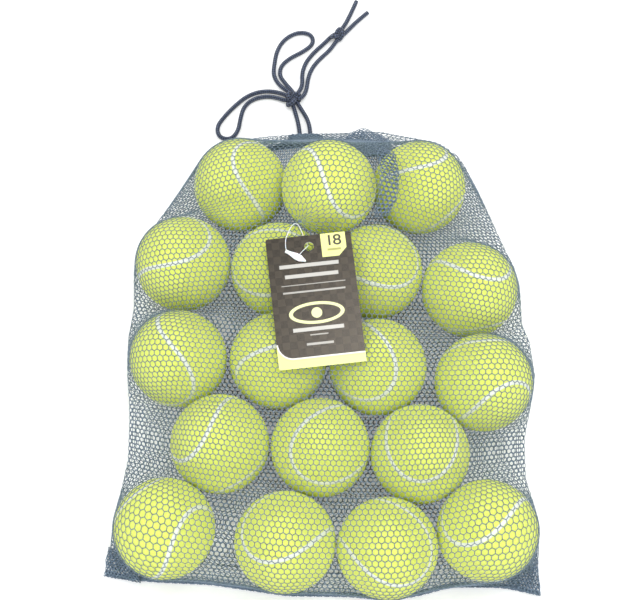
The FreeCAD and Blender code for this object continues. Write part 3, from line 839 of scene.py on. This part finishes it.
ruffle = net_piece("netting_ruffle", ruffle_cells, np.ones(ruffle_cells.shape[:2], bool),
                   BUNCHED_STRAND)

ears = []
for ear_name, (a, b, c, d) in (("netting_ear_left", LEFT_EAR), ("netting_ear_right", RIGHT_EAR)):
    top = patch([(*a, EAR_HEIGHT), (*d, 5.0)], [(*b, EAR_HEIGHT - 4), (*c, 3.5)], EAR_CELLS[1],
                EAR_CELLS[0])
    ear_top = crumple(top, 2.0, 4.0)
    ear_under = crumple(top[:, ::-1] * (1, 1, 0.35) + (0, 0, 0.4), 1.2, 5.0)
    ear_under[..., 2] = np.maximum(ear_under[..., 2], 0.9)
    ear_cells = keep_clear(staggered(np.concatenate([ear_top, ear_under], 1)))
    ears.append(net_piece(ear_name, ear_cells, np.ones(ear_cells.shape[:2], bool), BACK_STRAND))

for piece, columns, rows, held, width in (
    (pleat, 16, pleat_rows, "folded", BACK_STRAND),
    (ruffle, *RUFFLE_CELLS, "gathered", BUNCHED_STRAND),
    (ears[0], 2 * EAR_CELLS[0], EAR_CELLS[1], "gathered", BACK_STRAND),
    (ears[1], 2 * EAR_CELLS[0], EAR_CELLS[1], "gathered", BACK_STRAND),
):
    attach(piece, "bag")
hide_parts("mouth_ruffle")


# ----------------------------------------
# Hem and bottom seam: at the mouth the netting is turned over and stitched down as a channel for
# the drawstring, and at the bottom its two edges are bound together with an overlock stitch of
# textured polyester thread. Both are dense, narrow and a little puckered.
# ----------------------------------------

HEM_MIDDLE = (-13.0, 170.9, 4.6)
HEM_HALF = (11.4, 3.0)
HEM_PLEATS = 13
HEM_STEPS = 180
HEM_BAND = (0.5, 2.2)       # half its thickness and half its length along the bag
SEAM_POINTS = 360           # along the bottom seam
STITCH_POINTS = 10          # round one stitch of its thread
THREAD_GAP = 0.15           # from the band to the middle of the thread
BAND_HALF = (1.6, 0.65)     # half width and half thickness of the bottom seam
THREAD_WIDTH = 0.4
THREAD_PITCH = 2.4          # mm along the seam for one overlock stitch

# Folded mesh: two or three layers of the netting seen together, so it reads as a close slate cloth
# with pinholes about 1 mm apart painted dark as shade, duller than the single netting.
folded_mesh, tree, surface = material("folded_polyester_mesh")
spot = add(tree, "ShaderNodeTexCoord")
holes = add(tree, "ShaderNodeTexVoronoi", {"Vector": spot.outputs["Object"], "Scale": 850.0,
            "Randomness": 0.55}, feature="F1")
pinhole = add(tree, "ShaderNodeMapRange", {"Value": holes.outputs["Distance"], "From Min": 0.12,
              "From Max": 0.38})
uneven = add(tree, "ShaderNodeTexNoise", {"Vector": spot.outputs["Object"], "Scale": 260.0,
             "Detail": 3.0})
yarn = add(tree, "ShaderNodeMix", {"Factor": uneven.outputs[0], 6: linear("#43566A"),
           7: linear("#74889B")}, data_type="RGBA")
# Painted shade: the pinholes are painted a dark slate
shade = add(tree, "ShaderNodeMix", {"Factor": pinhole.outputs[0], 6: linear("#27333F"),
            7: yarn.outputs[2]}, data_type="RGBA")
relief = add(tree, "ShaderNodeBump", {"Height": pinhole.outputs[0], "Strength": 0.8,
             "Distance": 0.0004})
cloth = add(tree, "ShaderNodeBsdfPrincipled", {"Base Color": shade.outputs[2], "Roughness": 0.75,
            "Sheen Weight": 0.15, "Normal": relief.outputs[0]})
tree.links.new(cloth.outputs[0], surface)

# Overlock thread: textured polyester, soft and matte, a shade paler than the netting.
overlock_thread = mottled("overlock_thread", "#56677A", "#94A6B8", 2400.0, 2.0, 0.7, (0.6, 0.0001))


def flat_band(half_width, half_thickness, corners=16):
    """A flattened oval, clockwise: a superellipse of power 3."""
    turn = np.arange(corners) * 2 * np.pi / corners
    c, s = np.cos(turn), -np.sin(turn)
    size = (np.abs(c) ** 3 + np.abs(s) ** 3) ** (-1 / 3)
    return np.stack([c * size * half_width, s * size * half_thickness], 1)


# Ring of the hem: an ellipse whose size ripples once for each pleat
turn = 2 * np.pi * np.arange(HEM_STEPS) / HEM_STEPS
pucker = 1 + 0.07 * np.cos(HEM_PLEATS * turn) + 0.03 * np.cos(5 * turn + 1)
hem_path = np.stack([HEM_MIDDLE[0] + HEM_HALF[0] * np.cos(turn) * pucker,
                     HEM_MIDDLE[1] + 0.35 * np.sin(HEM_PLEATS * turn),
                     HEM_MIDDLE[2] + HEM_HALF[1] * np.sin(turn) * pucker], 1)
points, faces, uv = sweep(hem_path, flat_band(*HEM_BAND), up=(0, 1, 0), closed=True)
hem = mesh_piece("mouth_hem_channel", points, faces, folded_mesh, uv)
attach(hem, "bag")
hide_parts("mouth_hem")

seam_path = seam_at(np.linspace(-146.0, 146.0, SEAM_POINTS))
# Rounded by the mean of 25 neighbours, weighted by a bell curve, with its ends turned over
smooth = np.exp(-0.5 * (np.arange(-12, 13) / 5.0) ** 2)
padded = np.vstack([2 * seam_path[0] - seam_path[12:0:-1], seam_path,
                    2 * seam_path[-1] - seam_path[-2:-14:-1]])
seam_path = np.stack([np.convolve(padded[:, k], smooth / smooth.sum(), "valid")
                      for k in range(3)], 1)
seam_path[:, 2] = np.maximum(seam_path[:, 2], 1.35)
ripple = 1 + 0.12 * np.sin(np.arange(SEAM_POINTS) * 0.9)[:, None, None]
points, faces, uv = sweep(seam_path, flat_band(*BAND_HALF)[None] * ripple)
seam_band = mesh_piece("bottom_seam_band", points, faces, folded_mesh, uv)
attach(seam_band, "bag")
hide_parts("bottom_seam")

# The thread's path winds round the band: aside times cos and up times sin of one turn a stitch
along = even(seam_path, THREAD_PITCH / STITCH_POINTS)
wind = 2 * np.pi * np.arange(len(along)) / STITCH_POINTS
direction = np.gradient(along, axis=0)
aside = np.cross(direction, (0, 0, 1))
aside /= np.linalg.norm(aside, axis=1)[:, None]
thread_path = (along + aside * (BAND_HALF[0] + THREAD_GAP) * np.cos(wind)[:, None]
               + np.array([0, 0, 1]) * (BAND_HALF[1] + THREAD_GAP) * np.sin(wind)[:, None])
thread_path[:, 2] = np.maximum(thread_path[:, 2], 0.3)
points, faces, uv = sweep(thread_path, circle(THREAD_WIDTH / 2, 5))
thread = mesh_piece("bottom_seam_thread", points, faces, overlock_thread, uv)
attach(thread, "bag")


# ----------------------------------------
# Loop pin: one moulding of clear-white nylon, a thin thread whose two ends snap together in an
# arrow-shaped lock. It passes through the netting and the tag's hole.
# ----------------------------------------

HOLE_PLACE = (-9.0, 53.0, 76.0)
TAG_TURN = (4.0, 0.0, 6.5)  # tilt about its own width, then turn about the vertical, in degrees
PIN_THREAD = 0.5
PIN_ROUTE = [
    (-8.2, -6.3, 2.3), (-3.6, -2.2, 2.4), (-0.6, 0.4, 1.6), (-0.4, 1.6, -1.4), (-2.6, 7.2, -1.9),
    (-4.0, 13.0, -1.6), (-6.0, 17.8, 0.0), (-9.6, 16.6, 2.0), (-13.2, 10.8, 2.4),
    (-16.2, 4.2, 2.4), (-15.6, -2.6, 2.3),
]

# Nylon: moulded, milky and a little translucent, with a smooth satin skin and soft highlights.
nylon, tree, surface = material("moulded_nylon")
spot = add(tree, "ShaderNodeTexCoord")
flow = add(tree, "ShaderNodeTexNoise", {"Vector": spot.outputs["Object"], "Scale": 350.0,
           "Detail": 2.0})
shade = add(tree, "ShaderNodeMix", {"Factor": flow.outputs[0], 6: linear("#F1F3F2"),
            7: linear("#FFFFFF")}, data_type="RGBA")
gloss = add(tree, "ShaderNodeMapRange", {"Value": flow.outputs[0], "To Min": 0.32, "To Max": 0.48})
plastic = add(tree, "ShaderNodeBsdfPrincipled", {"Base Color": shade.outputs[2],
              "Roughness": gloss.outputs[0], "IOR": 1.53, "Subsurface Weight": 0.25,
              "Subsurface Scale": 0.0008})
tree.links.new(plastic.outputs[0], surface)


def on_tag(points):
    """The tag's own places, u right, v to its top edge and w off its face, as the row's."""
    turned = np.array(Euler([math.radians(a) for a in TAG_TURN], "XYZ").to_matrix())
    return np.asarray(points, float) @ turned.T + HOLE_PLACE


pin_line = smooth_line(on_tag(PIN_ROUTE).tolist(), 0.6)
points, faces, uv = sweep(pin_line, circle(PIN_THREAD / 2, 10))
pin = mesh_piece("pin_thread", points, faces, nylon, uv)
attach(pin, "tag_pin")
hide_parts("tag_pin_thread")
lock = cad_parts["tag_pin_lock"]
lock.data.materials.clear()
lock.data.materials.append(nylon)


# ----------------------------------------
# Hang tag: 0.5 mm coated board, folded along its top edge. The front is printed a warm charcoal
# in faint 5 mm squares, with pale bars, a ring and a yellow corner panel with the count of balls.
# The back leaf is longer and plain pale yellow. The cut edges show the white board.
# ----------------------------------------

BOARD = 0.5
TAG_SIDE = 29.0             # half of its width
FRONT_END = -77.0           # the front leaf's free edge
FRONT_SWEEP = 11.0          # the large radius at its lower left corner
MARGIN = 0.9                # unprinted board along that edge
BARS = [
    # middle u and v, half width and half height, and how white it is
    (-1.5, -12.8, 20.0, 1.3, 0.62), (-0.5, -20.0, 18.0, 1.3, 0.62), (0.0, -26.2, 21.5, 0.3, 0.45),
    (0.0, -31.2, 21.0, 0.6, 0.50), (0.0, -57.4, 17.0, 1.3, 0.66), (0.0, -61.4, 6.0, 0.4, 0.50),
    (0.0, -67.6, 9.0, 0.8, 0.50),
]
RING = (0.0, -46.5, 18.6, 7.6, 16.0, 5.6)      # middle, outer and inner half sizes
PANEL = (16.6, -0.2, 8.4, 8.3)                 # middle and half sizes
PANEL_CORNER = 5.5
DOT = 3.6                                      # radius of the dot in the ring
COUNT_SIZE = 10.6
COUNT_WIDEN = 1.16
COUNT_PLACE = (16.6, 2.6, 2 * BOARD + 0.02)
CAPTION = (16.6, -3.6, 4.6, 0.8, 0.8)          # middle, half sizes and strength of the bar in it


def oval_steps(name, half_u, half_v):
    """The steps that find where (u / half_u)^2 + (v / half_v)^2 < 1, u and v being from the ring's
    middle."""
    return [(name + "_u", "DIVIDE", "ring_u", half_u), (name + "_v", "DIVIDE", "ring_v", half_v),
            (name + "_uu", "MULTIPLY", name + "_u", name + "_u"),
            (name + "_vv", "MULTIPLY", name + "_v", name + "_v"),
            (name + "_sum", "ADD", name + "_uu", name + "_vv"),
            (name, "LESS_THAN", name + "_sum", 1.0)]


def box_steps(name, middle_u, middle_v, half_u, half_v, strength=1.0):
    """The steps that find where u and v are both within their halves of the middle."""
    return [(name + "_u", "COMPARE", "u", middle_u, half_u),
            (name + "_v", "COMPARE", "v", middle_v, half_v),
            (name + "_in", "MULTIPLY", name + "_u", name + "_v"),
            (name, "MULTIPLY", name + "_in", strength)]


# The front's print, as steps and then as colours laid over one another where a result is 1
PRINT_STEPS = [
    ("patches", "MULTIPLY", "grain", 0.3),
    *[step for n, bar in enumerate(BARS) for step in box_steps("bar%d" % n, *bar)],
    ("ring_u", "SUBTRACT", "u", RING[0]), ("ring_v", "SUBTRACT", "v", RING[1]),
    *oval_steps("outer", *RING[2:4]), *oval_steps("inner", *RING[4:]), *oval_steps("dot", DOT, DOT),
    ("band", "SUBTRACT", "outer", "inner"), ("mark", "ADD", "band", "dot"),
    *box_steps("square", *PANEL),
    ("right_of", "SUBTRACT", "u", PANEL[0]), ("above", "SUBTRACT", "v", PANEL[1]),
    ("slant", "SUBTRACT", "right_of", "above"),
    ("kept", "LESS_THAN", "slant", PANEL[2] + PANEL[3] - PANEL_CORNER),
    ("panel", "MULTIPLY", "square", "kept"),
    *box_steps("caption", *CAPTION),
    # From the middle of the sweep's arc, to the left and down
    ("from_u", "ADD", "u", TAG_SIDE - FRONT_SWEEP), ("left", "MINIMUM", "from_u", 0.0),
    ("from_v", "SUBTRACT", "v", FRONT_END + FRONT_SWEEP), ("down", "MINIMUM", "from_v", 0.0),
    ("left_2", "MULTIPLY", "left", "left"), ("down_2", "MULTIPLY", "down", "down"),
    ("far_2", "ADD", "left_2", "down_2"), ("far", "SQRT", "far_2"),
    ("outside", "GREATER_THAN", "far", FRONT_SWEEP - MARGIN),
    ("nearer", "MAXIMUM", "left", "down"), ("swept", "LESS_THAN", "nearer", -0.01),
    ("corner", "MULTIPLY", "outside", "swept"), ("bottom", "LESS_THAN", "v", FRONT_END + MARGIN),
    ("margin", "MAXIMUM", "bottom", "corner"),
]
PRINT_LAYERS = [
    ("#453F36", "patches"), *[("#E9E7E0", "bar%d" % n) for n in range(len(BARS))],
    ("#EDF0B0", "mark"), ("#F3F59A", "panel"), ("#8F8C4C", "caption"), ("#F6F4EC", "margin"),
]


def tag_board(name, printed):
    """Coated board. Only the side that faces off the card is printed, and its edges stay white."""
    made, tree, surface = material(name)
    spot = add(tree, "ShaderNodeTexCoord")
    turn = [math.radians(a) for a in TAG_TURN]
    own = add(tree, "ShaderNodeMapping", {"Vector": spot.outputs["Object"],
              "Location": [v / 1000 for v in HOLE_PLACE], "Rotation": turn,
              "Scale": (0.001,) * 3}, vector_type="TEXTURE")
    axes = add(tree, "ShaderNodeSeparateXYZ", {0: own.outputs[0]})
    grain = add(tree, "ShaderNodeTexNoise", {"Vector": own.outputs[0], "Scale": 4.0, "Detail": 4.0})
    facing = add(tree, "ShaderNodeVectorRotate", {"Vector": spot.outputs["Normal"],
                 "Rotation": turn}, rotation_type="EULER_XYZ", invert=True)
    up = add(tree, "ShaderNodeSeparateXYZ", {0: facing.outputs[0]})
    value = {"u": axes.outputs[0], "v": axes.outputs[1], "grain": grain.outputs[0],
             "up": up.outputs[2]}
    face_steps = [("flat", "ABSOLUTE", "up"), ("face", "GREATER_THAN", "flat", 0.7)]
    if printed:
        face_steps = [("face", "GREATER_THAN", "up", 0.7)]
    for result, operation, *inputs in face_steps + (PRINT_STEPS if printed else []):
        value[result] = add(tree, "ShaderNodeMath",
                            {k: value.get(i, i) for k, i in enumerate(inputs)},
                            operation=operation).outputs[0]
    if printed:
        ink = add(tree, "ShaderNodeTexChecker", {"Vector": own.outputs[0], "Scale": 0.2,
                  "Color1": linear("#2E2921"), "Color2": linear("#12100B")}).outputs[0]
        layers = [(linear(code), value[share]) for code, share in PRINT_LAYERS]
    else:
        ink = linear("#F0F388")
        layers = [(linear("#F7F9A6"), value["grain"])]
    for colour, share in layers:
        ink = add(tree, "ShaderNodeMix", {"Factor": share, 6: ink, 7: colour},
                  data_type="RGBA").outputs[2]
    colour = add(tree, "ShaderNodeMix", {"Factor": value["face"], 6: linear("#F4F2EA"), 7: ink},
                 data_type="RGBA")
    relief = add(tree, "ShaderNodeBump", {"Height": grain.outputs[0], "Strength": 0.15,
                 "Distance": 0.0001})
    board = add(tree, "ShaderNodeBsdfPrincipled", {"Base Color": colour.outputs[2],
                "Roughness": 0.26, "Specular IOR Level": 0.45, "Specular Tint": linear("#FFF4E6"),
                "Normal": relief.outputs[0]})
    tree.links.new(board.outputs[0], surface)
    return made


front_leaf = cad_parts["tag_front_leaf"]
front_leaf.data.materials.clear()
front_leaf.data.materials.append(tag_board("charcoal_coated_board", True))
back_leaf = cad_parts["tag_back_leaf"]
back_leaf.data.materials.clear()
back_leaf.data.materials.append(tag_board("yellow_coated_board", False))

# The count of balls, in charcoal ink on the yellow panel
ink_black = mottled("charcoal_ink", "#2E2A20", "#403B30", 1500.0, 2.0, 0.4)
words = bpy.data.curves.new("count", "FONT")
words.body = "18"
words.size = COUNT_SIZE
words.space_character = 0.86
words.offset = 0.10
words.extrude = 0.02
words.align_x = "CENTER"
words.align_y = "CENTER"
holder = bpy.data.objects.new("count", words)
count = bpy.data.meshes.new_from_object(holder)
bpy.data.objects.remove(holder)
co = np.zeros(len(count.vertices) * 3)
count.vertices.foreach_get("co", co)
co = on_tag(co.reshape(-1, 3) * (COUNT_WIDEN, 1, 1) + COUNT_PLACE) / 1000
count.vertices.foreach_set("co", co.ravel())
count.materials.clear()
count.materials.append(ink_black)
count_piece = bpy.data.objects.new("printed_count", count)
scene.collection.objects.link(count_piece)
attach(count_piece, "tag")
